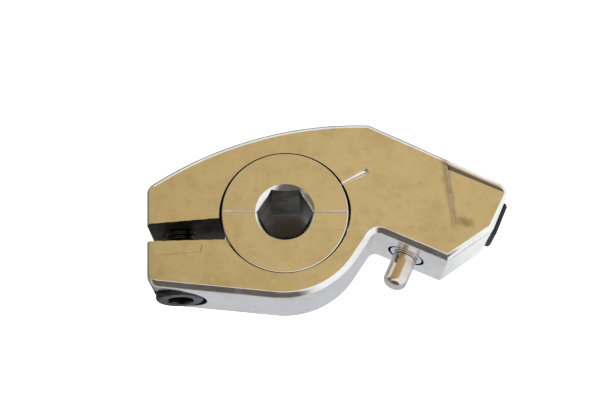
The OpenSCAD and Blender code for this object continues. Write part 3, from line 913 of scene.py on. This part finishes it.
def end_plug():
    r = CHAMBER_R - FIT
    profile = [
        (0, 0.12), (0.5, 0.0), (r - 0.15, 0.0), (r, 0.15), (r, PLUG_T - 0.1), (r - 0.1, PLUG_T), (0, PLUG_T)
    ]
    obj = to_object("plug", lathe(profile, 96))
    obj.data.transform(on_plunger(SLEEVE_LEN))
    return place(obj, "plunger_plug", "arm", "plunger_end_plug", SLEEVE)


# ---- bumper pad ----

def pad():
    """Moulded block with bevelled edges, fine ribs across its faces and a stem in the arm."""
    tall = PAD_POCKET - PLAY + PAD_PROUD
    edge = [
        (0.1, 0.0), (0.0, 0.1), (0.0, tall - 0.55), (0.06, tall - 0.45), (0.43, tall - 0.08), (0.55, tall)
    ]
    rings = []
    for inset, z in edge:
        a, b = PAD_W / 2 - inset, PAD_LEN / 2 - inset
        r, n = 0.5 - min(inset, 0.3), 5
        ring = []
        for sx, sy, a0 in ((1, 1, 0), (-1, 1, 90), (-1, -1, 180), (1, -1, 270)):
            for k in range(n + 1):
                t = math.radians(a0 + 90 * k / n)
                ring.append((sx * (a - r) + r * math.cos(t), sy * (b - r) + r * math.sin(t), z))
        rings.append(ring)
    obj = to_object("pad", stack(rings))
    for k in range(9):
        x = (k - 4) * 0.92
        vee = [(x - 0.16, tall + 0.1), (x, tall - 0.12), (x + 0.16, tall + 0.1)]
        cut(obj, stack([[(p, y, z) for p, z in vee] for y in (-PAD_LEN, PAD_LEN)]))
    soften(obj, 0.05, 1, 40)
    obj.data.transform(ON_END @ Matrix.Translation((0, 0, -PAD_POCKET + PLAY)))
    neck = STEM_R - 0.15
    profile = [
        (0, -4), (STEM_R - 0.3, -4), (STEM_R, -3.7), (STEM_R, -2.6), (neck, -2.4), (neck, -2.0),
        (STEM_R, -1.8), (STEM_R, 0.3), (0, 0.3),
    ]
    stem = to_object("stem", lathe(profile, 64))
    stem.data.transform(ON_END @ Matrix.Translation((0, 0, -PAD_POCKET)))
    return (
        place(obj, "bumper_block", "arm", "bumper_pad", RUBBER),
        place(stem, "bumper_stem", "arm", "bumper_pad", RUBBER),
    )


for make in (arm, bush, screw, washer, insert, sleeve, pin, spring, end_plug, pad):
    make()


# ---- floor, light and camera ----

def sheet(name, z, material):
    bm = bmesh.new()
    bmesh.ops.create_grid(bm, x_segments=8, y_segments=8, size=1500)
    obj = to_object(name, bm)
    obj.data.transform(Matrix.Translation((0, 0, z)))
    obj.data.transform(Matrix.Scale(MM, 4))
    obj.data.materials.append(material)
    return obj


def paper(name):
    m = Tree(name)
    fibre = m.noise(m.mapped(), 1.2, detail=5, rough=0.6)
    m.set(Roughness=0.9, Specular_IOR_Level=0.1, Normal=m.bump(fibre, 0.15, 0.05))
    return m, fibre


def white_paper():
    """Bright everywhere but under the bush, where the hexagon shows it in shade."""
    m, fibre = paper("floor")
    clear = m.ramp(m.length(m.mapped(scale=(1, 1, 0))), BUSH_R - 3, BUSH_R - 1)
    white = m.mix(fibre, (0.91, 0.915, 0.93), (0.94, 0.945, 0.955))
    return m.set(
        Base_Color=m.mix(clear, (0.33, 0.30, 0.28), white),
        Emission_Color=(1, 1, 1, 1),
        Emission_Strength=m.math("MULTIPLY", clear, 0.8),
    )


def mirrored_paper():
    """Glows with painted light instead of being lit: brighter to the right, with a painted shadow darker
    behind the arm.
    """
    m, _ = paper("floor_bounce")
    middle = m.mapped(at=(8, 0, 0))
    flat = m.node("ShaderNodeMapping", {"Vector": middle, "Scale": (1 / 37, 1 / 19, 0)}).outputs[0]
    behind = m.ramp(m.dot(middle, (-0.6, 0.8, 0)), 2, 12)
    shade = m.math("MULTIPLY", m.ramp(m.length(flat), 2.6, 3.1, 1, 0), behind)
    right = m.ramp(m.dot(m.mapped(), (0.6, 0.8, 0)), 5, 20)
    lit = m.mix(right, (0.55, 0.565, 0.61), (0.90, 0.92, 0.94))
    return m.set(
        Base_Color=(0.02, 0.02, 0.02, 1),
        Emission_Color=m.mix(shade, lit, (0.19, 0.18, 0.16)),
        Emission_Strength=1.0,
    )


def floor():
    """White paper for the eye, and a dimmer sheet just under it that the metal reflects."""
    top = sheet("floor", -0.02, white_paper())
    top.visible_glossy = top.visible_diffuse = top.visible_transmission = top.visible_shadow = False
    under = sheet("floor_bounce", -0.05, mirrored_paper())
    under.visible_camera = under.visible_shadow = False


def studio():
    """Soft surround: warm overhead, white round the sides, dark where the photographer stands."""
    world = bpy.data.worlds.new("studio")
    bpy.context.scene.world = world
    world.use_nodes = True
    t = world.node_tree
    t.nodes.clear()
    out = t.nodes.new("ShaderNodeOutputWorld")
    background = t.nodes.new("ShaderNodeBackground")
    t.links.new(background.outputs[0], out.inputs[0])
    coord = t.nodes.new("ShaderNodeTexCoord").outputs["Generated"]

    def toward(direction, low, high):
        dot = t.nodes.new("ShaderNodeVectorMath")
        dot.operation = "DOT_PRODUCT"
        t.links.new(coord, dot.inputs[0])
        dot.inputs[1].default_value = Vector(direction).normalized()
        span = t.nodes.new("ShaderNodeMapRange")
        span.interpolation_type = "SMOOTHSTEP"
        t.links.new(dot.outputs["Value"], span.inputs["Value"])
        span.inputs["From Min"].default_value = low
        span.inputs["From Max"].default_value = high
        return span.outputs[0]

    def over(mask, below, color):
        mix = t.nodes.new("ShaderNodeMix")
        mix.data_type = "RGBA"
        t.links.new(mask, mix.inputs[0])
        if isinstance(below, bpy.types.NodeSocket):
            t.links.new(below, mix.inputs[6])
        else:
            mix.inputs[6].default_value = (*below, 1)
        mix.inputs[7].default_value = (*color, 1)
        return mix.outputs[2]

    light = over(toward((-1, 0.25, 0.1), 0.50, 0.85), (1.00, 1.02, 1.06), (0.20, 0.16, 0.11))
    light = over(toward((0.0, 1.0, 0.2), 0.35, 0.75), light, (0.66, 0.65, 0.63))
    light = over(toward((-0.10, 0.42, 0.90), 0.70, 0.86), light, (0.585, 0.437, 0.200))
    light = over(toward((-0.50, 0.15, 0.85), 0.84, 0.97), light, (0.42, 0.30, 0.125))
    light = over(toward((-0.33, -0.90, 0.22), 0.70, 0.87), light, (0.125, 0.11, 0.098))
    t.links.new(light, background.inputs["Color"])
    background.inputs["Strength"].default_value = 1.0


def lamp(name, at, aim, size, power, color):
    """Soft round lamp that the metal doesn't mirror."""
    data = bpy.data.lights.new(name, "AREA")
    data.shape = "DISK"
    data.size = size
    data.energy = power
    data.color = color
    obj = bpy.data.objects.new(name, data)
    obj.location = at
    obj.rotation_euler = (Vector(aim) - Vector(at)).to_track_quat("-Z", "Y").to_euler()
    obj.visible_glossy = False
    bpy.context.scene.collection.objects.link(obj)


def camera():
    """Looks down on the face, turned a little about its own line of sight."""
    turn = (
        Matrix.Rotation(math.radians(-CAMERA_AZIMUTH), 3, "Z")
        @ Matrix.Rotation(math.radians(90 - CAMERA_TILT), 3, "X")
        @ Matrix.Rotation(math.radians(CAMERA_ROLL), 3, "Z")
    )
    data = bpy.data.cameras.new("camera")
    data.lens = LENS
    data.sensor_width = 36
    data.sensor_fit = "HORIZONTAL"
    data.clip_start = 0.01
    data.clip_end = 20
    obj = bpy.data.objects.new("camera", data)
    obj.matrix_world = Matrix.Translation(Vector(CAMERA_AT) * MM) @ turn.to_4x4()
    bpy.context.scene.collection.objects.link(obj)
    bpy.context.scene.camera = obj


floor()
studio()
lamp("window", (1.05, -0.95, 0.95), (0, 0, 0), 0.40, 24.0, (0.94, 0.97, 1.0))
camera()
bpy.context.scene.view_settings.view_transform = "Standard"
bpy.context.scene.view_settings.look = "None"
